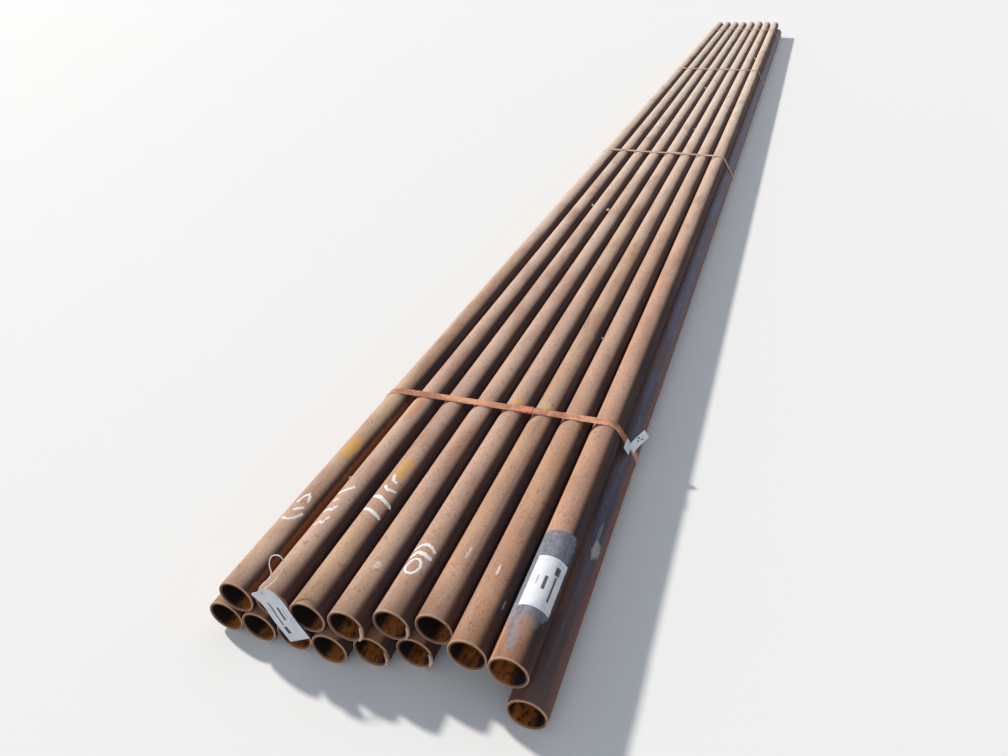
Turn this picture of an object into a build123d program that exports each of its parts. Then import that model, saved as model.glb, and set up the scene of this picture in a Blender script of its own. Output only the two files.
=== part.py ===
from build123d import *
from math import cos, radians, sin, sqrt, tan
import os

# A strapped bundle of 2 inch schedule 40 steel pipes, 21 feet long: nine pipes side by
# side and eight lying in the valleys between them, held by four flat steel straps.
# Millimetres, +Z up, the pipes along Y with the labelled ends at -Y. The origin is the
# bottom centre of the bundle, on the floor that the straps lie on.

# Pipe
pipe_od = 60.3
pipe_wall = 3.91
pipe_length = 6400.0
end_break = 0.5

# Gaps between the nine bottom pipes, from left to right, as uneven as they lie
bottom_gaps = [1.9, 1.9, 3.3, 2.2, 1.8, 1.9, 2.0, 3.7]
contact_gap = 0.3

# How far each near end stands back from the foremost one, from left to right
bottom_setbacks = [6.0, 5.0, 9.0, 5.0, 21.0, 40.0, 110.0, 130.0, 0.0]
top_setbacks = [9.0, 15.0, 11.0, 15.0, 38.0, 51.0, 26.0, 19.0]

# Straps, each at its share of the length from the foremost end, with its slant across the row
strap_width = 19.0
strap_thickness = 0.8
strap_lap = 85.0
strap_shares = [0.08875, 0.38078, 0.66641, 0.93047]
strap_slants = [2.5, -0.7, -2.0, -1.0]

# Crimped seal, a little left of the valley that follows a top pipe of this number
seal_length = 28.0
seal_thickness = 0.9
seal_gap = 0.15
seal_offset = -6.0
seal_pipe_number = 5
notch_depth = 2.0
notch_pitch = 13.0

# Paper sticker round the last top pipe, its two ends as angles from +X
sticker_length = 100.0
sticker_thickness = 0.2
sticker_distance = 163.0
sticker_from = 26.0
sticker_to = 125.0

# Paper tag that hangs over the mouth of the top pipe of this number
tag_pipe_number = 2
tag_width = 46.0
tag_drop = 98.0
tag_rest = 3.2
tag_bend = 6.0
tag_lean = 4.0
tag_thickness = 0.4
tag_slant = 29.0
tag_shift = 12.0
tag_corner = 3.0
eye_diameter = 5.6
eye_turn = 45.0

# Wire loop through the tag's eye, its points measured from the middle of the eye
wire_diameter = 1.8
wire_sides = 8
wire_points = [
    (0.6, 1.8, -1.9),
    (-2.6, -2.8, 1.8),
    (-3.0, -2.0, 13.0),
    (6.5, 6.0, 21.5),
    (10.5, 15.0, 25.5),
    (-1.0, 24.0, 33.5),
    (-1.5, 34.0, 42.5),
    (12.0, 37.0, 45.0),
    (22.0, 33.5, 37.0),
    (20.0, 24.0, 24.5),
    (12.0, 9.0, 14.5),
    (3.5, -2.5, 10.0),
    (-0.4, -2.8, 3.1),
    (2.0, 1.8, -0.9),
]
arc_share = 0.45

# Folded paper flag on the first strap, on its run between the two last pipes
flag_width = 20.0
flag_reach = 45.0
flag_thickness = 0.4
flag_overlap = 16.0
flag_swing = 15.0
flag_slide = 8.0

pipe_radius = pipe_od / 2
bore_radius = pipe_radius - pipe_wall
front_y = -(pipe_length + max(bottom_setbacks + top_setbacks)) / 2
bottom_z = strap_thickness + contact_gap + pipe_radius
seat_distance = pipe_od + contact_gap
strap_inside = pipe_radius + contact_gap
strap_outside = strap_inside + strap_thickness
strap_distances = [share * pipe_length for share in strap_shares]


def bottom_row():
    """Axis of each bottom pipe as (x, z), the row centred on the origin."""
    pitches = [pipe_od + gap for gap in bottom_gaps]
    x = -sum(pitches) / 2
    axes = [(x, bottom_z)]
    for pitch in pitches:
        x += pitch
        axes.append((x, bottom_z))
    return axes


def top_row(below):
    """Axis of each top pipe as (x, z), cradled by two pipes of the row below."""
    axes = []
    for (left, _), (right, _) in zip(below, below[1:]):
        rise = sqrt(seat_distance**2 - ((right - left) / 2) ** 2)
        axes.append(((left + right) / 2, bottom_z + rise))
    return axes


bottoms = bottom_row()
tops = top_row(bottoms)
crown_z = max(z for _, z in tops)
strap_top_z = crown_z + strap_outside
os.makedirs("parts", exist_ok=True)


def cross_section(x, y, z):
    """Plane across the bundle with local axes along +X and +Z, facing the near end."""
    return Plane(origin=(x, y, z), x_dir=(1, 0, 0), z_dir=(0, -1, 0))


def save(piece, name):
    piece.part.label = name
    export_step(piece.part, f"parts/{name}.step")


# Pipes, drawn at their near ends
def make_pipe(axis, setback):
    x, z = axis
    with BuildPart() as pipe:
        with BuildSketch(cross_section(x, front_y + setback, z)):
            Circle(pipe_radius)
            Circle(bore_radius, mode=Mode.SUBTRACT)
        extrude(amount=-pipe_length)
        rims = pipe.edges().filter_by(GeomType.CIRCLE).group_by(SortBy.RADIUS)[-1]
        chamfer(rims, end_break)
    return pipe


for number, (axis, setback) in enumerate(zip(bottoms, bottom_setbacks), 1):
    save(make_pipe(axis, setback), f"pipe_bottom_{number}")
for number, (axis, setback) in enumerate(zip(tops, top_setbacks), 1):
    save(make_pipe(axis, setback), f"pipe_top_{number}")


# Straps: a taut ring round the corner pipes, cut to its width by two slanted planes
def taut_outline(reach):
    """Area inside a line that stands off the axes of the corner pipes by reach."""
    with BuildSketch() as outline:
        with BuildLine():
            Polyline(
                bottoms[0],
                bottoms[-1],
                (tops[-1][0], crown_z),
                (tops[0][0], crown_z),
                close=True,
            )
        make_face()
        offset(amount=reach, kind=Kind.ARC)
    return outline.sketch


def strap_plane(distance, slant):
    """Middle plane of a strap, its local axes along the strap's top and +Z."""
    return Plane(
        origin=(0, front_y + distance, 0),
        x_dir=(cos(radians(slant)), sin(radians(slant)), 0),
        z_dir=(sin(radians(slant)), -cos(radians(slant)), 0),
    )


def make_strap(distance, slant):
    middle = strap_plane(distance, slant)
    widest = bottoms[-1][0] + strap_outside
    half_depth = strap_width + widest * tan(radians(abs(slant)))
    with BuildPart() as strap:
        with BuildSketch(cross_section(0, front_y + distance, 0)):
            add(taut_outline(strap_outside))
            add(taut_outline(strap_inside), mode=Mode.SUBTRACT)
            with Locations((seal_x, strap_top_z)):
                Rectangle(strap_lap, strap_thickness, align=(Align.CENTER, Align.MIN))
        extrude(amount=half_depth, both=True)
        split(bisect_by=middle.offset(strap_width / 2), keep=Keep.BOTTOM)
        split(bisect_by=middle.offset(-strap_width / 2), keep=Keep.TOP)
    return strap


# Seals: a flat sleeve round the strap's two layers, nicked twice on each edge
seal_x = (tops[seal_pipe_number - 1][0] + tops[seal_pipe_number][0]) / 2 + seal_offset
seal_hole_width = strap_width + 2 * seal_gap
seal_hole_height = 2 * (strap_thickness + seal_gap)
seal_width = seal_hole_width + 2 * seal_thickness
seal_height = seal_hole_height + 2 * seal_thickness


def make_seal(distance, slant):
    middle = strap_plane(distance, slant)
    centre = middle.from_local_coords((seal_x / cos(radians(slant)), strap_top_z, 0))
    across = Plane(origin=centre, x_dir=middle.z_dir, z_dir=middle.x_dir)
    with BuildPart() as seal:
        with BuildSketch(across):
            outside = Rectangle(seal_width, seal_height)
            chamfer(outside.vertices(), seal_thickness / 2)
            Rectangle(seal_hole_width, seal_hole_height, mode=Mode.SUBTRACT)
        extrude(amount=seal_length / 2, both=True)
        with BuildSketch(Plane(origin=centre, x_dir=middle.x_dir, z_dir=(0, 0, 1))):
            with GridLocations(notch_pitch, seal_width, 2, 2):
                Circle(notch_depth)
        extrude(amount=seal_height, both=True, mode=Mode.SUBTRACT)
    return seal


for number, (distance, slant) in enumerate(zip(strap_distances, strap_slants), 1):
    save(make_strap(distance, slant), f"strap_{number}")
    save(make_seal(distance, slant), f"strap_seal_{number}")


# Sticker: a thin shell that hugs the last top pipe
def make_sticker():
    x, z = tops[-1]
    inner = pipe_radius + contact_gap
    span = sticker_to - sticker_from
    near = cross_section(x, front_y + sticker_distance - sticker_length / 2, z)
    with BuildPart() as sticker:
        with BuildSketch(near):
            with BuildLine():
                low = CenterArc((0, 0), inner, sticker_from, span)
                high = CenterArc((0, 0), inner + sticker_thickness, sticker_from, span)
                Line(low @ 0, high @ 0)
                Line(low @ 1, high @ 1)
            make_face()
        extrude(amount=-sticker_length)
    return sticker


save(make_sticker(), "pipe_sticker")

# Tag: it rests on the pipe's crown and bends down before the mouth
tag_x, tag_z = tops[tag_pipe_number - 1]
tag_y = front_y + top_setbacks[tag_pipe_number - 1]
slant_sin = sin(radians(tag_slant))
slant_cos = cos(radians(tag_slant))
tag_origin = Vector(
    tag_x - strap_inside * slant_sin + tag_shift * slant_cos,
    tag_y,
    tag_z + strap_inside * slant_cos + tag_shift * slant_sin,
)
tag_plane = Plane(
    origin=tag_origin,
    x_dir=(0, -1, 0),
    z_dir=(slant_cos, 0, slant_sin),
)
bend_centre = (contact_gap, tag_bend)
eye_middle = (
    bend_centre[0] + tag_bend * sin(radians(eye_turn)),
    bend_centre[1] - tag_bend * cos(radians(eye_turn)),
)
eye_centre = tag_plane.from_local_coords((*eye_middle, 0))
bend_axis = tag_plane.from_local_coords((*bend_centre, 0))
eye_plane = Plane(origin=eye_centre, z_dir=eye_centre - bend_axis)


def make_tag():
    with BuildPart() as tag:
        with BuildSketch(tag_plane):
            with BuildLine():
                rest = Line((-tag_rest, 0), (contact_gap, 0))
                bend = CenterArc(bend_centre, tag_bend, -90, 90)
                Line(bend @ 1, (bend_centre[0] + tag_bend + tag_lean, tag_drop))
                offset(amount=tag_thickness, side=Side.RIGHT)
            make_face()
        extrude(amount=tag_width / 2, both=True)
        corners = tag.edges().filter_by(lambda e: abs(e.length - tag_thickness) < tag_thickness / 100)
        fillet(corners, tag_corner)
        with BuildSketch(eye_plane):
            Circle(eye_diameter / 2)
        extrude(amount=tag_bend, both=True, mode=Mode.SUBTRACT)
    return tag


# Wire: a loose loop whose two ends pass through the eye
def corner_radii(points):
    """Largest arc for each corner that still leaves both of its runs straight."""
    radii = []
    for before, corner, after in zip(points, points[1:], points[2:]):
        arriving = corner - before
        leaving = after - corner
        half_turn = radians(arriving.get_angle(leaving)) / 2
        shorter = min(arriving.length, leaving.length)
        radii.append(arc_share * shorter / tan(half_turn))
    return radii


def make_wire():
    points = [eye_centre + Vector(*point) for point in wire_points]
    radii = corner_radii(points)
    print("wire radii", [round(radius, 1) for radius in radii])
    with BuildPart() as wire:
        with BuildLine() as path:
            FilletPolyline(*points, radius=radii)
        with BuildSketch(Plane(origin=path.line @ 0, z_dir=path.line % 0)):
            section = RegularPolygon(wire_diameter / 2, wire_sides)
        sweep()
    length = sum(run.length for run in path.edges())
    print("wire length", round(length, 1), "volume", round(wire.part.volume, 2))
    print("section times length", round(section.area * length, 2))
    return wire


save(make_tag(), "tag")
save(make_wire(), "tag_wire")


# Flag: a paper strip folded on the strap, where it runs from the last top pipe down
# to the last bottom one, its free end swung outward
def make_flag():
    (top_x, top_z), (low_x, low_z) = tops[-1], bottoms[-1]
    run = Vector(low_x - top_x, 0, low_z - top_z).normalized()
    outward = Vector(-run.Z, 0, run.X)
    stand_off = strap_outside + contact_gap
    middle = Vector((top_x + low_x) / 2, 0, (top_z + low_z) / 2)
    middle += outward * stand_off + run * flag_slide
    strap_y = front_y + strap_distances[0] + middle.X * tan(radians(strap_slants[0]))
    edge_y = strap_y + strap_width / 2
    sheet = Plane(
        origin=(middle.X, edge_y, middle.Z),
        x_dir=(0, 1, 0),
        z_dir=run,
    )
    with BuildPart() as flag:
        with BuildSketch(sheet):
            with BuildLine():
                fold = Line((-flag_overlap, 0), (0, 0))
                PolarLine(fold @ 1, flag_reach, flag_swing)
                offset(amount=flag_thickness, side=Side.LEFT)
            make_face()
        extrude(amount=flag_width / 2, both=True)
    return flag


save(make_flag(), "strap_flag")
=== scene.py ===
import bpy
from math import cos, pi, radians, sin, sqrt
from mathutils import Matrix, Vector


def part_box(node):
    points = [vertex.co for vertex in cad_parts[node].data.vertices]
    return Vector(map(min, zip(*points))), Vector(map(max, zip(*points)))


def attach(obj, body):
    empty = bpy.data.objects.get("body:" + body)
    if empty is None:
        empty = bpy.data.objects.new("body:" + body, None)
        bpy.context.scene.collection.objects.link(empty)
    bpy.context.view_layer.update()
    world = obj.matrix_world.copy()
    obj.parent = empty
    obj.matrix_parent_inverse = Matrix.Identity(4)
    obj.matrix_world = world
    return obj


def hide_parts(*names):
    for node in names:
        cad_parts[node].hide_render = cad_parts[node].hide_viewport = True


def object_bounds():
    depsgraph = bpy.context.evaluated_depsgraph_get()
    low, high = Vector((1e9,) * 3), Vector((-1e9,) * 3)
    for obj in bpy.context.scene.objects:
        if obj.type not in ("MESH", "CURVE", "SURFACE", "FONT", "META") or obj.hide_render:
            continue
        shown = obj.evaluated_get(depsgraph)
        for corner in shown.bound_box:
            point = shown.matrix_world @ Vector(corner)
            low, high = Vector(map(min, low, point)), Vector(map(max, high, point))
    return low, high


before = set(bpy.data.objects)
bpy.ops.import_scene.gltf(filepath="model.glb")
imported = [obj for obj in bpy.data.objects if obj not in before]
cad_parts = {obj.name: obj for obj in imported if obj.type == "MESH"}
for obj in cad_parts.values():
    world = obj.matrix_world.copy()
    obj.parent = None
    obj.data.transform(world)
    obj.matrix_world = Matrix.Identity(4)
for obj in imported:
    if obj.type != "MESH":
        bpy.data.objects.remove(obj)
cad_low, cad_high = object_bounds()

# The pipes, read from the frame
BOTTOM = [f"pipe_bottom_{number}" for number in range(1, 10)]
TOP = [f"pipe_top_{number}" for number in range(1, 9)]
WALL = 0.00391
HALF_LENGTH = 3.2


def low_high(name):
    low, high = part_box(name)
    return Vector(low), Vector(high)


def pipe_axis(name):
    """Axis of a pipe as (x, z)."""
    low, high = low_high(name)
    return (low.x + high.x) / 2, (low.z + high.z) / 2


def near_end(name):
    return low_high(name)[0].y


RADIUS = (low_high("pipe_top_1")[1].x - low_high("pipe_top_1")[0].x) / 2
FRONT = cad_low[1]


# Camera, at the photo's viewing angle
def place_camera():
    yaw, pitch, roll = -21.606, 32.401, -2.491
    focal_pixels, image_width, sensor = 732.26, 1008, 36.0
    place = Vector((0.4583, FRONT - 0.5535, 0.9481))
    yaw, pitch, roll = radians(yaw), radians(pitch), radians(roll)
    forward = Vector((sin(yaw) * cos(pitch), cos(yaw) * cos(pitch), -sin(pitch)))
    level = Vector((cos(yaw), -sin(yaw), 0))
    upright = level.cross(forward)
    right = cos(roll) * level + sin(roll) * upright
    up = -sin(roll) * level + cos(roll) * upright
    turn = Matrix((right, up, -forward)).transposed().to_4x4()
    bpy.ops.object.camera_add()
    camera = bpy.context.object
    camera.matrix_world = Matrix.Translation(place) @ turn
    camera.data.lens = focal_pixels / image_width * sensor
    camera.data.sensor_width = sensor
    camera.data.clip_end = 100
    camera.data.dof.use_dof = False
    bpy.context.scene.camera = camera


place_camera()


def deselect():
    bpy.ops.object.select_all(action="DESELECT")


def finish_piece(piece, name, material, smooth=40):
    """Put a finished piece's place in its mesh, smooth it and give it its surface."""
    deselect()
    piece.select_set(True)
    bpy.context.view_layer.objects.active = piece
    bpy.ops.object.transform_apply(location=True, rotation=True, scale=True)
    if smooth:
        bpy.ops.object.shade_smooth_by_angle(angle=radians(smooth))
    piece.name = name
    piece.data.materials.clear()
    piece.data.materials.append(material)
    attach(piece, "root")
    return piece


# Materials
class Surface:
    """A material under construction, with short calls for its nodes."""

    def __init__(self, name, roughness):
        self.material = bpy.data.materials.new(name)
        self.material.use_nodes = True
        self.tree = self.material.node_tree
        self.nodes = self.tree.nodes
        self.shader = self.nodes["Principled BSDF"]
        self.shader.inputs["Roughness"].default_value = roughness
        self.place = self.nodes.new("ShaderNodeTexCoord").outputs["Object"]

    def feed(self, socket, value):
        if isinstance(value, bpy.types.NodeSocket):
            self.tree.links.new(value, socket)
        else:
            socket.default_value = value

    def mapped(self, scale, shift=(0, 0, 0)):
        node = self.nodes.new("ShaderNodeMapping")
        node.inputs["Scale"].default_value = scale
        node.inputs["Location"].default_value = shift
        self.feed(node.inputs["Vector"], self.place)
        return node.outputs["Vector"]

    def noise(self, vector, scale, detail=4.0, rough=0.55):
        node = self.nodes.new("ShaderNodeTexNoise")
        node.inputs["Scale"].default_value = scale
        node.inputs["Detail"].default_value = detail
        node.inputs["Roughness"].default_value = rough
        self.feed(node.inputs["Vector"], vector)
        return node.outputs["Fac"]

    def math(self, operation, first, second=0.0, clamp=False):
        node = self.nodes.new("ShaderNodeMath")
        node.operation = operation
        node.use_clamp = clamp
        for socket, value in zip(node.inputs, (first, second)):
            self.feed(socket, value)
        return node.outputs[0]

    def plus(self, first, second, clamp=False):
        return self.math("ADD", first, second, clamp)

    def minus(self, first, second):
        return self.math("SUBTRACT", first, second)

    def times(self, first, second, clamp=False):
        return self.math("MULTIPLY", first, second, clamp)

    def divided(self, first, second, clamp=False):
        return self.math("DIVIDE", first, second, clamp)

    def vector(self, operation, first, second):
        node = self.nodes.new("ShaderNodeVectorMath")
        node.operation = operation
        self.feed(node.inputs[0], first)
        self.feed(node.inputs["Scale"] if operation == "SCALE" else node.inputs[1], second)
        gives_number = operation in ("DOT_PRODUCT", "DISTANCE")
        return node.outputs["Value" if gives_number else "Vector"]

    def step(self, value, start, end, low=0.0, high=1.0):
        """Smooth ramp from low to high as value goes from start to end."""
        node = self.nodes.new("ShaderNodeMapRange")
        node.interpolation_type = "SMOOTHSTEP"
        self.feed(node.inputs["Value"], value)
        limits = {"From Min": start, "From Max": end, "To Min": low, "To Max": high}
        for name, amount in limits.items():
            node.inputs[name].default_value = amount
        return node.outputs["Result"]

    def blend(self, share, under, over):
        node = self.nodes.new("ShaderNodeMix")
        node.data_type = "RGBA"
        self.feed(node.inputs[0], share)
        self.feed(node.inputs[6], under)
        self.feed(node.inputs[7], over)
        return node.outputs[2]

    def hypotenuse(self, first, second):
        squares = self.plus(self.times(first, first), self.times(second, second))
        return self.math("SQRT", squares)

    def axes(self):
        node = self.nodes.new("ShaderNodeSeparateXYZ")
        self.feed(node.inputs[0], self.place)
        return node.outputs[0], node.outputs[1], node.outputs[2]

    def bump(self, height, strength, distance):
        node = self.nodes.new("ShaderNodeBump")
        node.inputs["Strength"].default_value = strength
        node.inputs["Distance"].default_value = distance
        self.feed(node.inputs["Height"], height)
        self.feed(self.shader.inputs["Normal"], node.outputs["Normal"])

    def finish(self, colour, roughness=None):
        self.feed(self.shader.inputs["Base Color"], colour)
        if roughness is not None:
            self.feed(self.shader.inputs["Roughness"], roughness)
        return self.material


def srgb(red, green, blue):
    """Linear colour of a paint-box colour given as 0 to 255."""
    def channel(value):
        value /= 255
        return value / 12.92 if value <= 0.04045 else ((value + 0.055) / 1.055) ** 2.4
    return channel(red), channel(green), channel(blue), 1.0


RUST = srgb(176, 132, 112)
RUST_ORANGE = srgb(184, 124, 92)
RUST_DARK = srgb(96, 64, 54)
DUST = srgb(219, 187, 166)
# Far dust, paler also as painted sheen
DUST_FAR_SHEEN = srgb(228, 210, 194)
DUST_SAND = srgb(210, 178, 146)
MILL_SCALE = srgb(104, 106, 120)
SCALE_DEEP = srgb(62, 58, 68)
WIPED_BARE = srgb(138, 146, 160)
# Painted shade for the right flanks; FLANK_BLUE also tints the speckles of the outermost bottom
# pipe
FLANK_SHADE_BROWN = srgb(64, 46, 43)
FLANK_BLUE = srgb(38, 33, 42)
# Painted warm bounce light on the lower flanks
BOUNCE_ORANGE = srgb(150, 86, 50)
# Bore colours paint light and shade: orange bounce light, dark brown and blue-black shade
BORE_BOUNCE_ORANGE = srgb(182, 108, 46)
BORE_SHADE_BROWN = srgb(28, 17, 13)
BORE_SHADE_BLUE = srgb(30, 32, 44)
# Painted highlight on the rims of the cut ends
CUT_HIGHLIGHT = srgb(226, 186, 156)
CUT_BROWN = srgb(136, 92, 64)
SMOOTH_BROWN = srgb(128, 92, 78)
SMOOTH_DEEP = srgb(96, 70, 64)
SMOOTH_RUST = srgb(140, 98, 84)
NEAR_BLUE = srgb(84, 88, 106)
NEAR_BLUE_DEEP = srgb(54, 54, 68)
FAR_BLUE = srgb(124, 132, 158)
FAR_BLUE_DEEP = srgb(92, 95, 114)
SEAM_HIGHLIGHT_TAN = srgb(228, 168, 108)
# Weld seam line, painted bright as a highlight on the lit left flank
YELLOW = srgb(222, 168, 82)
CHALK = srgb(244, 242, 238)
INK = srgb(38, 40, 52)


def around(surface, name):
    """Distance from a pipe's axis, angle round it from +X, and place along it."""
    axis_x, axis_z = pipe_axis(name)
    x, y, z = surface.axes()
    across, height = surface.minus(x, axis_x), surface.minus(z, axis_z)
    return surface.hypotenuse(across, height), surface.math("ARCTAN2", height, across), y


def hash_of(name):
    return sum((place + 1) * ord(letter) for place, letter in enumerate(name))


class PipeSkin(Surface):
    """A pipe's surface under construction, with its noises and its places round and along."""

    def __init__(self, pipe):
        super().__init__("rust_" + pipe, roughness=0.82)
        self.shader.inputs["Specular IOR Level"].default_value = 0.25
        own_shift = 7.3 * (hash_of(pipe) % 17 + 1)
        shift = (own_shift, 2 * own_shift, 3 * own_shift)
        self.distance, self.angle, self.y = around(self, pipe)
        self.along = self.minus(self.y, near_end(pipe))
        self.grain = self.noise(self.mapped((1, 0.7, 1), shift), 560, 3.0, 0.7)
        self.speckle = self.noise(self.mapped((1, 0.7, 1), shift), 130, 5.0, 0.65)
        self.streaks = self.noise(self.mapped((1, 0.04, 1), shift), 90, 4.0, 0.6)
        self.cloud = self.noise(self.mapped((1, 0.3, 1), shift), 18, 4.0, 0.6)
        self.broad = self.noise(self.mapped((1, 0.15, 1), shift), 6, 2.0, 0.5)
        self.ragged = self.mix(self.speckle, 0.6, self.streaks, 0.4)

    def mix(self, first, first_share, second, second_share):
        return self.plus(self.times(first, first_share), self.times(second, second_share))

    def half_and_half(self, first, second):
        return self.mix(first, 0.5, second, 0.5)

    def zone(self, middle, half, soft=0.15, loose=0.3):
        """1 on the part of the round within half of the middle angle, with an uneven edge."""
        facing = self.math("COSINE", self.minus(self.angle, radians(middle)))
        uneven = self.times(self.minus(self.cloud, 0.5), loose)
        edge = cos(radians(half))
        return self.step(self.plus(facing, uneven), edge - soft, edge + soft)

    def oval(self, middle_y, half_y, middle_angle, half_angle):
        """1 inside a ragged oval on the pipe's side, 0 outside it."""
        along = self.divided(self.minus(self.y, FRONT + middle_y), half_y)
        turned = self.divided(self.minus(self.angle, radians(middle_angle)), radians(half_angle))
        frayed = self.times(self.minus(self.ragged, 0.5), 2.4)
        return self.step(self.plus(self.hypotenuse(along, turned), frayed), 1.25, 0.75)


def lay_rust(skin, colour, orange, scale):
    """Rust of two tones with streaks of mill scale through it."""
    tint_from = 0.62 - 0.4 * orange
    tint = skin.step(skin.half_and_half(skin.cloud, skin.broad), tint_from, tint_from + 0.12)
    colour = skin.blend(tint, colour, RUST_ORANGE)
    scale_from = 0.6 - 0.24 * scale
    scaled = skin.step(skin.half_and_half(skin.streaks, skin.broad), scale_from, scale_from + 0.12,
                       0.0, 0.5 + 0.5 * scale)
    scale_tone = skin.blend(skin.step(skin.cloud, 0.4, 0.65), SCALE_DEEP, MILL_SCALE)
    return skin.blend(scaled, colour, scale_tone)


def paint_flank_shade(skin, colour):
    """Painted shade in dark blue and brown on the right flank, a little weaker toward the far end,
    and painted warm bounce light in orange low on the left flank.
    """
    browner = skin.step(skin.mix(skin.streaks, 0.6, skin.cloud, 0.4), 0.4, 0.6)
    shade_tone = skin.blend(browner, FLANK_BLUE, FLANK_SHADE_BROWN)
    shade_fade = skin.step(skin.y, FRONT, -FRONT, 1.0, 0.8)
    # Painted shade on the right flank, fading a little toward the far end
    colour = skin.blend(skin.times(skin.zone(-22, 78, 0.16, 0.25), shade_fade), colour, shade_tone)
    # Painted warm bounce light: orange low on the left flank
    bounce_glow = skin.times(skin.zone(222, 40), skin.step(skin.speckle, 0.66, 0.4, 0.5, 0.95))
    return skin.blend(bounce_glow, colour, BOUNCE_ORANGE)


def lay_dust(skin, colour, dust):
    """Pale dust on the upper side over pits and grains, more of it and paler toward the far end,
    where the paler tone is also painted sheen of the light from behind.
    """
    upward = skin.zone(106, 48, 0.2)
    # More dust toward the far end: real dust, also painted sheen
    amount = skin.plus(skin.step(skin.y, FRONT, -FRONT * 0.4, 0.0, 0.75), dust)
    lying = skin.step(skin.mix(skin.speckle, 0.3, skin.cloud, 0.7), 0.3, 0.6)
    lying = skin.plus(lying, skin.step(skin.y, FRONT, 0, 0.0, 0.28), clamp=True)
    dusty = skin.times(skin.times(lying, upward), amount, clamp=True)
    near_tone = skin.blend(skin.step(skin.broad, 0.45, 0.62), DUST, DUST_SAND)
    # Paler tone toward the far end: dust with painted sheen
    tone = skin.blend(skin.step(skin.y, FRONT, -FRONT * 0.3), near_tone, DUST_FAR_SHEEN)
    colour = skin.blend(dusty, colour, tone)
    colour = skin.blend(skin.step(skin.speckle, 0.54, 0.68, 0.0, 0.5), colour, RUST_DARK)
    colour = skin.blend(skin.step(skin.grain, 0.48, 0.3, 0.0, 0.45), colour, RUST_DARK)
    grains = skin.times(skin.step(skin.grain, 0.52, 0.7, 0.0, 0.6), upward)
    colour = skin.blend(grains, colour, tone)
    browned = skin.plus(skin.along, skin.times(skin.cloud, 0.08))
    return skin.blend(skin.step(browned, 0.14, 0.03, 0.0, 0.4), colour, RUST_DARK)


def stain(skin, colour, marks):
    """Mottled oval marks on the pipe."""
    for middle_y, half_y, middle_angle, half_angle, tone, strength in marks:
        mottle = skin.step(skin.grain, 0.25, 0.6, strength * 0.55, strength)
        mask = skin.times(skin.oval(middle_y, half_y, middle_angle, half_angle), mottle)
        colour = skin.blend(mask, colour, tone)
    return colour


def wipe_band(skin, colour):
    """Bare bluish steel that was wiped clean round the sticker, narrowing toward the mouth."""
    narrowing = skin.divided(skin.minus(skin.along, 0.012), 0.085, clamp=True)
    half = skin.plus(skin.times(narrowing, radians(74)), 0.001)
    off = skin.math("ABSOLUTE", skin.minus(skin.angle, radians(99)))
    share = skin.plus(skin.divided(off, half), skin.times(skin.ragged, 0.9))
    edge = skin.plus(skin.along, skin.times(skin.ragged, 0.02))
    wiped = skin.times(skin.step(share, 1.6, 1.3), skin.step(edge, 0.266, 0.26))
    scaly = skin.step(skin.half_and_half(skin.speckle, skin.streaks), 0.4, 0.62)
    tone = skin.blend(scaly, WIPED_BARE, MILL_SCALE)
    thin = skin.step(skin.plus(skin.along, skin.times(skin.cloud, 0.05)), 0.14, 0.07, 0.95, 0.6)
    return skin.blend(skin.times(wiped, thin), colour, tone)


def paint_seam_highlight(skin, colour, seam):
    """Pale line of the weld seam along the pipe, at an angle round it, painted bright as a
    highlight where the left flank catches the light.
    """
    off = skin.math("ABSOLUTE", skin.minus(skin.angle, radians(seam)))
    line = skin.step(skin.plus(off, skin.times(skin.streaks, 0.1)), 0.13, 0.07)
    return skin.blend(skin.times(line, 0.7), colour, SEAM_HIGHLIGHT_TAN)


def brush_marks(skin, strokes):
    """1 on worn strokes, each a run of points of (angle, distance from the front) and a width."""
    place = skin.nodes.new("ShaderNodeCombineXYZ")
    skin.feed(place.inputs[0], skin.times(skin.angle, RADIUS))
    skin.feed(place.inputs[1], skin.y)
    nearest = None
    for points, width in strokes:
        spots = [Vector((RADIUS * radians(turn), FRONT + distance / 1000, 0))
                 for turn, distance in points]
        for first, second in zip(spots, spots[1:]):
            run = second - first
            offset = skin.vector("SUBTRACT", place.outputs[0], first)
            reached = skin.vector("DOT_PRODUCT", offset, run)
            share = skin.divided(reached, run.length_squared, clamp=True)
            along = skin.vector("SCALE", run, share)
            gap = skin.minus(skin.vector("DISTANCE", offset, along), width / 2000)
            nearest = gap if nearest is None else skin.math("MINIMUM", nearest, gap)
    rough = skin.times(skin.minus(skin.speckle, 0.5), 0.006)
    return skin.step(skin.plus(nearest, rough), 0.0005, -0.0003)


def paint_strokes(skin, colour, strokes):
    worn = skin.times(brush_marks(skin, strokes), skin.step(skin.grain, 0.3, 0.5, 0.8, 1.0))
    return skin.blend(worn, colour, CHALK)


def paint_bore_light(skin, colour, orange_middle, orange_half):
    """Inside, all painted light and shade: orange bounce light low down, blue-black shade on the
    right, dark brown shade elsewhere.
    """
    inside = skin.step(skin.distance, RADIUS - 0.15 * WALL, RADIUS - 0.3 * WALL)
    bore = skin.blend(skin.zone(-32, 42, 0.12), BORE_SHADE_BROWN, BORE_SHADE_BLUE)
    patchy = skin.step(skin.half_and_half(skin.speckle, skin.streaks), 0.64, 0.42, 0.3, 1.0)
    bounce_glow = skin.times(skin.zone(orange_middle, orange_half, 0.16, 0.6), patchy)
    bore = skin.blend(bounce_glow, bore, BORE_BOUNCE_ORANGE)
    bore = skin.blend(skin.step(skin.speckle, 0.5, 0.66, 0.0, 0.7), bore, BORE_SHADE_BROWN)
    return skin.blend(inside, colour, bore)


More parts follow.
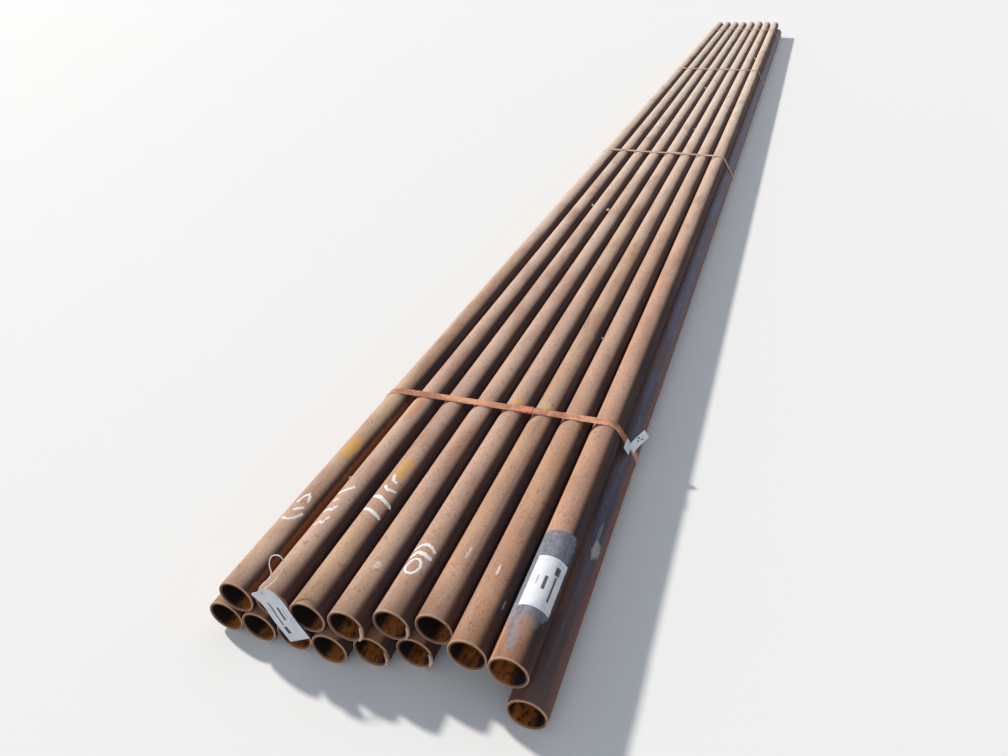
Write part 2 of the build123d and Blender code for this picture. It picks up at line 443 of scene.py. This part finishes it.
def saw_ends(skin, colour):
    """Cut faces, browner toward the bore, with a painted highlight on their outer part and round
    the outside edge.
    """
    from_middle = skin.math("ABSOLUTE", skin.minus(skin.along, HALF_LENGTH))
    edge = skin.step(skin.plus(from_middle, skin.times(skin.speckle, 0.003)),
                     HALF_LENGTH - 0.0015, HALF_LENGTH + 0.0005)
    # Painted highlight round the outside edge of the rim
    colour = skin.blend(skin.times(edge, 0.4), colour, CUT_HIGHLIGHT)
    on_end = skin.step(from_middle, HALF_LENGTH - 0.0006, HALF_LENGTH - 0.00015)
    out_of_bore = skin.step(skin.distance, RADIUS - 0.98 * WALL, RADIUS - 0.92 * WALL)
    outer = skin.plus(skin.distance, skin.times(skin.minus(skin.speckle, 0.5), 0.002))
    # Painted highlight on the outer part of the cut face
    rim_highlight = skin.step(outer, RADIUS - 0.5 * WALL, RADIUS - 0.25 * WALL)
    cut = skin.blend(rim_highlight, CUT_BROWN, CUT_HIGHLIGHT)
    cut = skin.blend(skin.step(skin.speckle, 0.5, 0.7, 0.0, 0.6), cut, RUST_DARK)
    return skin.blend(skin.times(on_end, out_of_bore), colour, cut)


def rusty_pipe(name, dust, scale, orange, bore, seam=None, wiped=False, marks=(), strokes=()):
    """Weathered black pipe: fine rust, dust, mill scale, painted shade and bounce light on the
    flanks, a bore of painted light and shade, and cut ends with a painted highlight.
    """
    skin = PipeSkin(name)
    colour = lay_rust(skin, RUST, orange, scale)
    colour = paint_flank_shade(skin, colour)
    colour = lay_dust(skin, colour, dust)
    if seam is not None:
        colour = paint_seam_highlight(skin, colour, seam)
    if wiped:
        colour = wipe_band(skin, colour)
    colour = stain(skin, colour, marks)
    if strokes:
        colour = paint_strokes(skin, colour, strokes)
    colour = paint_bore_light(skin, colour, *bore)
    colour = saw_ends(skin, colour)
    skin.bump(skin.mix(skin.grain, 1.0, skin.speckle, 0.8), 0.4, 0.0007)
    roughness = skin.step(skin.half_and_half(skin.streaks, skin.broad), 0.4, 0.7, 0.86, 0.68)
    return skin.finish(colour, roughness)


def smooth_pipe(name, bore, marks):
    """The outermost bottom pipe: smooth brown and bluish scale in soft streaks, with no dust."""
    skin = PipeSkin(name)
    browner = skin.step(skin.half_and_half(skin.streaks, skin.cloud), 0.38, 0.62)
    colour = skin.blend(browner, SMOOTH_BROWN, SMOOTH_DEEP)
    streaked = skin.step(skin.streaks, 0.4, 0.62)
    near_blue = skin.blend(streaked, NEAR_BLUE, NEAR_BLUE_DEEP)
    far_blue = skin.blend(streaked, FAR_BLUE, FAR_BLUE_DEEP)
    blue = skin.blend(skin.step(skin.y, FRONT + 0.1, FRONT + 1.6), near_blue, far_blue)
    bluer = skin.times(skin.zone(56, 30, 0.2, 0.5), skin.step(skin.along, 0.02, 0.3, 0.45, 0.9))
    colour = skin.blend(bluer, colour, blue)
    colour = skin.blend(skin.times(skin.zone(0, 30, 0.2, 0.5), 0.7), colour, SMOOTH_RUST)
    colour = skin.blend(skin.step(skin.speckle, 0.52, 0.7, 0.0, 0.35), colour, FLANK_BLUE)
    colour = stain(skin, colour, marks)
    colour = paint_bore_light(skin, colour, *bore)
    colour = saw_ends(skin, colour)
    skin.bump(skin.speckle, 0.2, 0.0004)
    return skin.finish(colour, skin.step(skin.streaks, 0.4, 0.7, 0.72, 0.58))


# How each pipe looks. Dust, scale and orange are amounts, and bore gives the middle and half angle
# of the painted bounce light inside. Marks are ovals: middle and half length along the pipe from
# the front in metres, middle and half angle, tone, strength. Strokes are brushed yard marks:
# points of (angle, distance from the front in millimetres), and the width in millimetres
PIPE_LOOKS = {
    "pipe_top_1": dict(
        dust=0.85, scale=0.1, orange=0.12, bore=(-70, 30),
        # The second mark paints warm bounce light on the lower right flank
        marks=[(0.36, 0.03, 84, 26, YELLOW, 0.9), (0.26, 0.3, 22, 17, BOUNCE_ORANGE, 0.75)],
        strokes=[
            ([(108, 200), (100, 214), (88, 220), (78, 214), (74, 204)], 4.5),
            ([(94, 180), (74, 188)], 5.0),
            ([(112, 158), (92, 156), (74, 162), (63, 176)], 5.0),
        ],
    ),
    "pipe_top_2": dict(
        dust=0.75, scale=0.14, orange=0.18, bore=(-90, 40),
        marks=[(0.515, 0.045, 92, 20, srgb(206, 134, 94), 0.7)],
        strokes=[
            ([(124, 244), (104, 250), (84, 260)], 6.0),
            ([(118, 222), (110, 226)], 5.0),
            ([(124, 194), (110, 200), (98, 197), (90, 208)], 4.5),
            ([(118, 162), (106, 168), (96, 166), (88, 180)], 4.5),
        ],
    ),
    "pipe_top_3": dict(
        dust=0.68, scale=0.18, orange=0.2, bore=(-52, 26),
        marks=[(0.335, 0.03, 88, 24, YELLOW, 0.8)],
        strokes=[
            ([(104, 312), (94, 298), (80, 294)], 5.0),
            ([(108, 282), (96, 273), (64, 274)], 5.5),
            ([(130, 258), (96, 252), (50, 240)], 7.0),
            ([(130, 224), (104, 220), (56, 208)], 6.0),
        ],
    ),
    "pipe_top_4": dict(
        dust=0.65, scale=0.16, orange=0.22, bore=(-88, 38),
        marks=[(0.112, 0.008, 80, 12, CHALK, 0.5)],
    ),
    "pipe_top_5": dict(
        dust=0.6, scale=0.2, orange=0.3, bore=(-105, 34),
        marks=[(0.594, 0.014, 90, 15, YELLOW, 0.85)],
        strokes=[
            ([(132, 166), (112, 174), (90, 176), (64, 166)], 5.0),
            ([(130, 150), (112, 158), (92, 156), (64, 150)], 6.5),
            ([(128, 128), (120, 138), (108, 143), (94, 143), (83, 138), (78, 129), (82, 120),
              (92, 114), (106, 113), (119, 118), (128, 128)], 4.0),
        ],
    ),
    "pipe_top_6": dict(
        dust=0.55, scale=0.3, orange=0.32, bore=(-62, 34),
        marks=[
            (0.28, 0.17, 68, 5, MILL_SCALE, 0.4),
            (0.7, 0.1, 66, 5, MILL_SCALE, 0.3),
            (0.181, 0.012, 84, 5, CHALK, 0.5),
            (0.596, 0.016, 92, 18, srgb(206, 184, 122), 0.7),
        ],
    ),
    "pipe_top_7": dict(
        dust=0.48, scale=0.2, orange=0.38, bore=(-98, 24),
        marks=[(0.111, 0.009, 36, 3, CHALK, 0.3), (0.161, 0.01, 95, 4, CHALK, 0.6)],
    ),
    "pipe_top_8": dict(
        dust=0.42, scale=0.2, orange=0.5, bore=(-128, 34), seam=140, wiped=True,
        marks=[(0.077, 0.022, 79, 17, RUST, 0.9), (0.15, 0.03, 45, 3, CHALK, 0.45)],
    ),
    "pipe_bottom_1": dict(dust=0.5, scale=0.15, orange=0.2, bore=(-70, 38)),
    "pipe_bottom_2": dict(dust=0.1, scale=0.1, orange=0.8, bore=(-68, 36)),
    "pipe_bottom_3": dict(dust=0.1, scale=0.1, orange=0.8, bore=(-90, 40)),
    "pipe_bottom_4": dict(dust=0.12, scale=0.25, orange=0.6, bore=(-72, 36)),
    "pipe_bottom_5": dict(dust=0.12, scale=0.25, orange=0.6, bore=(-108, 36)),
    "pipe_bottom_6": dict(dust=0.12, scale=0.25, orange=0.6, bore=(-85, 42)),
    "pipe_bottom_7": dict(dust=0.12, scale=0.3, orange=0.5, bore=(-96, 30)),
    "pipe_bottom_8": dict(dust=0.12, scale=0.2, orange=0.65, bore=(-104, 26)),
}
OUTER_BORE = (-118, 38)
OUTER_MARKS = [(0.302, 0.02, 50, 15, CHALK, 0.42), (0.335, 0.03, 58, 6, CHALK, 0.16)]


def paper(name, tone, shade, spot=None, bars=()):
    """White label paper. Bars are plain printed lines: middle and half size in mm, darkness."""
    surface = Surface(name, roughness=0.6)
    crease = surface.noise(surface.mapped((1, 1, 1)), 60, 3.0)
    fibre = surface.noise(surface.mapped((1, 1, 1)), 900, 3.0)
    # Pale blue in the creases is painted shade
    colour = surface.blend(surface.step(crease, 0.45, 0.7), tone, shade)
    if bars:
        across, along = spot(surface)
        for middle_across, middle_along, half_across, half_along, darkness in bars:
            beside = surface.math("ABSOLUTE", surface.minus(across, middle_across / 1000))
            before = surface.math("ABSOLUTE", surface.minus(along, middle_along / 1000))
            past = surface.math("MAXIMUM", surface.minus(beside, half_across / 1000),
                                surface.minus(before, half_along / 1000))
            ink = surface.step(past, 0.0002, -0.0002, 0.0, darkness)
            colour = surface.blend(ink, colour, INK)
    surface.bump(surface.plus(crease, surface.times(fibre, 0.1)), 0.25, 0.0008)
    return surface.finish(colour)


def on_sticker(surface):
    """Place on the sticker: round the pipe from its top, and along it from the near edge."""
    angle, y = around(surface, "pipe_top_8")[1:]
    return (surface.times(surface.minus(angle, pi / 2), RADIUS),
            surface.minus(y, low_high("pipe_sticker")[0].y))


def rusty_strap(name, tone, dark, pale):
    surface = Surface(name, roughness=0.75)
    speckle = surface.noise(surface.mapped((1, 1, 1)), 220, 5.0, 0.65)
    cloud = surface.noise(surface.mapped((0.5, 1, 1)), 30, 4.0)
    colour = surface.blend(surface.step(cloud, 0.42, 0.62), tone, dark)
    colour = surface.blend(surface.step(speckle, 0.5, 0.7, 0.0, 0.7), colour, dark)
    colour = surface.blend(surface.step(speckle, 0.5, 0.28, 0.0, 0.5), colour, pale)
    surface.bump(speckle, 0.4, 0.0004)
    return surface.finish(colour)


WHITE, PALE_BLUE = srgb(244, 246, 250), srgb(226, 231, 242)
STICKER_BARS = [
    (-21.0, 42.0, 1.6, 24.0, 0.95),
    (-20.0, 77.0, 4.0, 8.0, 0.95),
    (-7.0, 48.0, 2.6, 13.0, 0.9),
    (5.0, 50.0, 1.4, 9.0, 0.45),
    (13.0, 50.0, 0.7, 16.0, 0.3),
]
STRAP_RUST = rusty_strap(
    "strap_rust", srgb(226, 162, 126), srgb(168, 106, 78), srgb(246, 208, 178))
STRAP_DUSTY = rusty_strap(
    "strap_dusty", srgb(226, 186, 160), srgb(176, 136, 114), srgb(246, 224, 204))
SEAL_RUST = rusty_strap(
    "seal_rust", srgb(240, 142, 116), srgb(194, 104, 78), srgb(246, 190, 168))


def coat(node, material):
    """Give a CAD node its surface."""
    mesh = bpy.data.objects[node].data
    mesh.materials.clear()
    mesh.materials.append(material)


for pipe in BOTTOM[:-1] + TOP:
    coat(pipe, rusty_pipe(pipe, **PIPE_LOOKS[pipe]))
coat(BOTTOM[-1], smooth_pipe(BOTTOM[-1], OUTER_BORE, OUTER_MARKS))
for number in range(1, 5):
    coat(f"strap_{number}", STRAP_RUST if number == 1 else STRAP_DUSTY)
    coat(f"strap_seal_{number}", SEAL_RUST if number == 1 else STRAP_DUSTY)
coat("pipe_sticker", paper("sticker_paper", WHITE, PALE_BLUE, on_sticker, STICKER_BARS))

# Tag and its wire
# The tag hangs askew before the mouth. Its path in millimetres goes down from its top edge and
# outward from the mouth
TAG_SLANT = radians(31.5)
TAG_DOWN = Vector((sin(TAG_SLANT), 0, -cos(TAG_SLANT)))
TAG_TOP = Vector((-0.16721, FRONT + 0.0146, 0.11726))
TAG_PATH = [
    (0, 7.2), (5, 6.0), (17, 4.0), (28, 3.0), (38, 3.4), (50, 5.4), (66, 7.0), (102, 8.15)]
TAG_WIDTH = 46
TAG_CORNER = 4.5
PAPER_THICKNESS = 0.3
TAG_EYE = TAG_TOP + TAG_DOWN * 0.0038 + Vector((0, -0.0063, 0))
TAG_EYE_RADIUS = 0.0027
TAG_BARS = [
    (-9.0, 44.0, 1.6, 22.0, 0.9),
    (-9.0, 76.0, 3.6, 7.0, 0.95),
    (3.0, 46.0, 2.4, 12.0, 0.9),
    (11.0, 46.0, 1.2, 9.0, 0.45),
    (17.0, 48.0, 0.6, 18.0, 0.3),
]
# Route of the wire's loop, in millimetres. The first two and the last two points are measured from
# the tag's eye, the others from the eye of the CAD tag
WIRE_DIAMETER = 0.0018
CAD_EYE = Vector((-0.160665, FRONT + 0.010457, 0.114174))
WIRE_START = [(0.6, 1.8, -1.9), (-2.6, -2.8, 1.8)]
WIRE_LOOP = [
    (-3.0, -2.0, 13.0),
    (6.5, 6.0, 21.5),
    (10.5, 15.0, 25.5),
    (-1.0, 24.0, 33.5),
    (-1.5, 34.0, 42.5),
    (12.0, 37.0, 45.0),
    (22.0, 33.5, 37.0),
    (20.0, 24.0, 24.5),
    (12.0, 9.0, 14.5),
    (3.5, -2.5, 10.0),
]
WIRE_END = [(-0.4, -2.8, 3.1), (2.0, 1.8, -0.9)]


def wire_coat():
    surface = Surface("wire_coat", roughness=0.5)
    wear = surface.noise(surface.mapped((1, 1, 1)), 300, 3.0)
    worn = surface.step(wear, 0.45, 0.65)
    return surface.finish(surface.blend(worn, srgb(250, 246, 238), srgb(226, 218, 208)))


def make_wire():
    route = [TAG_EYE + Vector(offset) / 1000 for offset in WIRE_START]
    route += [CAD_EYE + Vector(offset) / 1000 for offset in WIRE_LOOP]
    route += [TAG_EYE + Vector(offset) / 1000 for offset in WIRE_END]
    curve = bpy.data.curves.new("tag_loop", "CURVE")
    curve.dimensions = "3D"
    spline = curve.splines.new("NURBS")
    spline.points.add(len(route) - 1)
    for point, place in zip(spline.points, route):
        point.co = (*place, 1)
    spline.order_u = 3
    spline.use_endpoint_u = True
    spline.resolution_u = 16
    curve.bevel_depth = WIRE_DIAMETER / 2
    curve.bevel_resolution = 3
    curve.use_fill_caps = True
    curve.materials.append(wire_coat())
    wire = bpy.data.objects.new("tag_loop", curve)
    bpy.context.collection.objects.link(wire)
    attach(wire, "root")
    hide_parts("tag_wire")


# Pieces beyond the CAD nodes
def guide_curve(path):
    """Flat curve through a path in millimetres, for strips to follow."""
    curve = bpy.data.curves.new("guide", "CURVE")
    curve.dimensions = "2D"
    spline = curve.splines.new("NURBS")
    spline.points.add(len(path) - 1)
    for point, (first, second) in zip(spline.points, path):
        point.co = (first / 1000, second / 1000, 0, 1)
    spline.order_u = 3
    spline.use_endpoint_u = True
    spline.resolution_u = 12
    guide = bpy.data.objects.new("guide", curve)
    bpy.context.collection.objects.link(guide)
    return guide, spline.calc_length()


def apply_modifiers(piece):
    deselect()
    piece.select_set(True)
    bpy.context.view_layer.objects.active = piece
    for modifier in list(piece.modifiers):
        bpy.ops.object.modifier_apply(modifier=modifier.name)


def clip_corners(strip, reach):
    """Cut the two corners at the start of a flat strip."""
    side = max(vertex.co.z for vertex in strip.data.vertices)
    close = 1e-6
    bpy.ops.object.mode_set(mode="EDIT")
    bpy.ops.mesh.select_mode(type="VERT")
    bpy.ops.mesh.select_all(action="DESELECT")
    bpy.ops.object.mode_set(mode="OBJECT")
    for vertex in strip.data.vertices:
        vertex.select = vertex.co.x < close and abs(vertex.co.z) > side - close
    bpy.ops.object.mode_set(mode="EDIT")
    bpy.ops.mesh.bevel(offset=reach / 1000, affect="VERTICES")
    bpy.ops.object.mode_set(mode="OBJECT")


def ribbon(path, width, thickness, turn, clipped=0.0):
    """Thin strip along a path in millimetres, its width along the turn's last axis."""
    guide, length = guide_curve(path)
    deselect()
    bpy.ops.mesh.primitive_grid_add(x_subdivisions=18, y_subdivisions=6, size=1)
    strip = bpy.context.object
    strip.scale = (length, width / 1000, 1)
    strip.rotation_euler = (pi / 2, 0, 0)
    strip.location = (length / 2, 0, 0)
    bpy.ops.object.transform_apply(location=True, rotation=True, scale=True)
    if clipped:
        clip_corners(strip, clipped)
    finer = strip.modifiers.new("finer", "SUBSURF")
    finer.subdivision_type = "SIMPLE"
    finer.levels = 1
    strip.modifiers.new("follow", "CURVE").object = guide
    body = strip.modifiers.new("body", "SOLIDIFY")
    body.thickness = thickness / 1000
    body.offset = 0
    apply_modifiers(strip)
    strip.matrix_world = turn
    bpy.data.objects.remove(guide)
    return strip


def punch_eye(sheet, place, radius):
    """Round hole through the sheet, front to back."""
    deselect()
    bpy.ops.mesh.primitive_cylinder_add(
        vertices=32, radius=radius, depth=0.01, location=place, rotation=(pi / 2, 0, 0))
    punch = bpy.context.object
    hole = sheet.modifiers.new("eye", "BOOLEAN")
    hole.operation = "DIFFERENCE"
    hole.solver = "EXACT"
    hole.object = punch
    apply_modifiers(sheet)
    bpy.data.objects.remove(punch)


def on_tag(surface):
    """Place on the tag: across it and down it from the eye."""
    x, y, z = surface.axes()
    right = surface.minus(x, TAG_EYE.x)
    down = surface.minus(TAG_EYE.z, z)
    turned_cos, turned_sin = cos(TAG_SLANT), sin(TAG_SLANT)
    across = surface.minus(surface.times(right, turned_cos),
                          surface.times(down, turned_sin))
    along = surface.plus(surface.times(right, turned_sin),
                         surface.times(down, turned_cos))
    return across, along


def make_tag():
    outward = Vector((0, -1, 0))
    axes = Matrix((TAG_DOWN, outward, TAG_DOWN.cross(outward))).transposed().to_4x4()
    sheet = ribbon(TAG_PATH, TAG_WIDTH, PAPER_THICKNESS, Matrix.Translation(TAG_TOP) @ axes,
                   clipped=TAG_CORNER)
    tag_paper = paper("tag_paper", WHITE, PALE_BLUE, on_tag, TAG_BARS)
    finish_piece(sheet, "tag_sheet", tag_paper)
    punch_eye(sheet, TAG_EYE, TAG_EYE_RADIUS)
    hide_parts("tag")


make_tag()
make_wire()


# Flag on the first strap
STRAP_Y = FRONT + 0.57
LEAF_WIDTH = 18.5
FLAG_TOP = 0.0685
SHORT_PATH = [(-15.4, 0.3), (-6, 0.3), (4, 0.4), (15, 1.4)]
LONG_PATH = [(3, 1.0), (14, 1.9), (29, 10.0), (47.5, 25.6)]
FLAG_BARS = [
    (1.7, 28.5, 1.6, 1.6, 0.85),
    (-3.4, 32.0, 1.8, 1.8, 0.8),
    (0.9, 35.5, 1.6, 2.0, 0.7),
]


def strap_leaf(name, path, slide, material):
    """Paper leaf on the strap. Its path, in mm, runs along the pipes and outward."""
    (top_x, top_z), (low_x, low_z) = pipe_axis("pipe_top_8"), pipe_axis("pipe_bottom_9")
    run = Vector((low_x - top_x, 0, low_z - top_z)).normalized()
    outward = Vector((-run.z, 0, run.x))
    middle = Vector(((top_x + low_x) / 2, STRAP_Y, (top_z + low_z) / 2))
    middle += outward * (RADIUS + 0.0016) + run * slide
    axes = Matrix((Vector((0, 1, 0)), outward, -run)).transposed().to_4x4()
    leaf = ribbon(path, LEAF_WIDTH, PAPER_THICKNESS, Matrix.Translation(middle) @ axes)
    return finish_piece(leaf, name, material)


def on_flag(surface):
    """Place on the flag's long leaf: down it, and along the pipes from the strap."""
    y, z = surface.axes()[1:]
    return surface.minus(FLAG_TOP, z), surface.minus(y, STRAP_Y)


def make_flag():
    flag_paper = paper("flag_paper", WHITE, PALE_BLUE, on_flag, FLAG_BARS)
    strap_leaf("flag_short_leaf", SHORT_PATH, 0.0035, flag_paper)
    long_leaf = strap_leaf("flag_long_leaf", LONG_PATH, 0.0155, flag_paper)
    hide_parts("strap_flag")


# Burrs and dried mud
BRIGHT_BURR = rusty_strap(
    "bright_burr", srgb(238, 204, 174), srgb(186, 136, 104), srgb(250, 230, 208))
DRIED_MUD = rusty_strap(
    "dried_mud", srgb(226, 214, 196), srgb(176, 156, 132), srgb(248, 244, 236))
# Valley right of this top pipe, distance from the front, size
CRUMBS = [
    (7, 4.73, 0.014),
    (4, 3.77, 0.013),
    (3, 1.77, 0.012),
    (2, 1.81, 0.009),
    (6, 0.93, 0.006),
    (1, 0.3, 0.006),
    (5, 2.9, 0.008),
]


def torn_lip(pipe, start, stop, thick, reach):
    """Lens-shaped burr that the saw left on a near rim, from one angle to the other."""
    axis_x, axis_z = pipe_axis(pipe)
    middle = RADIUS - WALL / 3
    turns = [radians(start + (stop - start) * share / 6) for share in range(7)]
    guide, length = guide_curve(
        [(1000 * middle * cos(turn), 1000 * middle * sin(turn)) for turn in turns])
    deselect()
    bpy.ops.mesh.primitive_uv_sphere_add(
        segments=20, ring_count=28, radius=0.5, rotation=(0, pi / 2, 0))
    lip = bpy.context.object
    bpy.ops.object.transform_apply(location=False, rotation=True, scale=False)
    lip.scale = (length, thick / 1000, reach / 1000)
    lip.location = (length / 2, 0, 0)
    bpy.ops.object.transform_apply(location=True, rotation=False, scale=True)
    cloud = bpy.data.textures.new("torn_edge", "CLOUDS")
    cloud.noise_scale = 0.003
    torn = lip.modifiers.new("torn", "DISPLACE")
    torn.texture = cloud
    torn.strength = 0.0034
    torn.mid_level = 0.5
    lip.modifiers.new("follow", "CURVE").object = guide
    apply_modifiers(lip)
    place = Vector((axis_x, near_end(pipe) - reach / 3000, axis_z))
    axes = Matrix((Vector((1, 0, 0)), Vector((0, 0, 1)), Vector((0, -1, 0)))).transposed().to_4x4()
    lip.matrix_world = Matrix.Translation(place) @ axes
    bpy.data.objects.remove(guide)
    return finish_piece(lip, "burr_" + pipe, BRIGHT_BURR)


def make_burrs():
    torn_lip("pipe_top_4", 24, -46, 5.2, 7.0)
    torn_lip("pipe_top_5", 22, -44, 4.6, 6.0)
    torn_lip("pipe_bottom_5", 32, -46, 5.2, 7.0)
    torn_lip("pipe_bottom_6", 28, -50, 5.6, 7.0)


def crumb(name, valley, distance, size, seed):
    """Crumb of dried mud in the valley between two top pipes."""
    left_x, left_z = pipe_axis(f"pipe_top_{valley}")
    right_x, right_z = pipe_axis(f"pipe_top_{valley + 1}")
    half = (right_x - left_x) / 2
    reach = RADIUS + size * 0.46
    lift = sqrt(reach * reach - half * half) if reach > half else 0
    place = ((left_x + right_x) / 2, FRONT + distance, (left_z + right_z) / 2 + lift)
    deselect()
    bpy.ops.mesh.primitive_ico_sphere_add(subdivisions=3, radius=size / 2, location=place)
    piece = bpy.context.object
    piece.scale = (1, 1.25, 0.9)
    bpy.ops.object.transform_apply(location=True, rotation=True, scale=True)
    lumps = bpy.data.textures.new("mud_lumps", "STUCCI")
    lumps.noise_scale = 0.004 + 0.0005 * seed
    worn = piece.modifiers.new("worn", "DISPLACE")
    worn.texture = lumps
    worn.texture_coords = "GLOBAL"
    worn.strength = size * 0.16
    worn.mid_level = 0.6
    bpy.ops.object.modifier_apply(modifier=worn.name)
    return finish_piece(piece, name, DRIED_MUD, smooth=30)


def scatter_crumbs():
    for number, (valley, distance, size) in enumerate(CRUMBS, 1):
        crumb(f"mud_crumb_{number}", valley, distance, size, number)


make_flag()
make_burrs()
scatter_crumbs()


# Floor and light
FLOOR_PALE = (0.93, 0.93, 0.92, 1)
FLOOR_BOUNCE = (0.3, 0.29, 0.27, 1)


def lay_floor():
    bpy.ops.mesh.primitive_plane_add(size=120, location=(0, 20, 0))
    floor = bpy.context.object
    floor.name = "floor"
    surface = Surface("pale_floor", roughness=0.9)
    ray = surface.nodes.new("ShaderNodeLightPath").outputs
    mirrored = surface.math("MAXIMUM", ray["Is Glossy Ray"], ray["Is Transmission Ray"])
    seen = surface.math("MAXIMUM", ray["Is Camera Ray"], mirrored)
    floor_colour = surface.blend(seen, FLOOR_BOUNCE, FLOOR_PALE)
    floor.data.materials.append(surface.finish(floor_colour))


def hang_lamp(direction, energy, spread, colour):
    """Sun lamp that shines from a direction, its shadow edges as soft as its spread in degrees."""
    bpy.ops.object.light_add(type="SUN")
    lamp = bpy.context.object
    lamp.data.energy = energy
    lamp.data.angle = radians(spread)
    lamp.data.color = colour
    lamp.rotation_euler = Vector(direction).to_track_quat("Z", "Y").to_euler()


def fill_world():
    """Even pale blue light, and white where the camera or a reflection looks past the floor."""
    world = bpy.data.worlds.new("studio")
    bpy.context.scene.world = world
    world.use_nodes = True
    nodes, links = world.node_tree.nodes, world.node_tree.links
    even = nodes["Background"]
    even.inputs["Color"].default_value = (0.82, 0.89, 1.0, 1)
    even.inputs["Strength"].default_value = 0.31
    white = nodes.new("ShaderNodeBackground")
    white.inputs["Color"].default_value = (0.95, 0.95, 0.95, 1)
    ray = nodes.new("ShaderNodeLightPath").outputs
    mirrored, seen = nodes.new("ShaderNodeMath"), nodes.new("ShaderNodeMath")
    mirrored.operation = seen.operation = "MAXIMUM"
    links.new(ray["Is Glossy Ray"], mirrored.inputs[0])
    links.new(ray["Is Transmission Ray"], mirrored.inputs[1])
    links.new(ray["Is Camera Ray"], seen.inputs[0])
    links.new(mirrored.outputs[0], seen.inputs[1])
    choice = nodes.new("ShaderNodeMixShader")
    links.new(seen.outputs[0], choice.inputs[0])
    links.new(even.outputs[0], choice.inputs[1])
    links.new(white.outputs[0], choice.inputs[2])
    links.new(choice.outputs[0], nodes["World Output"].inputs["Surface"])


def hang_lights():
    """Warm main light from behind on the left, and a soft cool one on the near mouths."""
    hang_lamp((-0.75, 0.3, 0.525), 3.35, 3, (1.0, 0.95, 0.89))
    hang_lamp((0.15, -0.95, 0.3), 1.05, 70, (0.86, 0.92, 1.0))
    fill_world()


lay_floor()
hang_lights()
bpy.context.scene.view_settings.view_transform = "Standard"
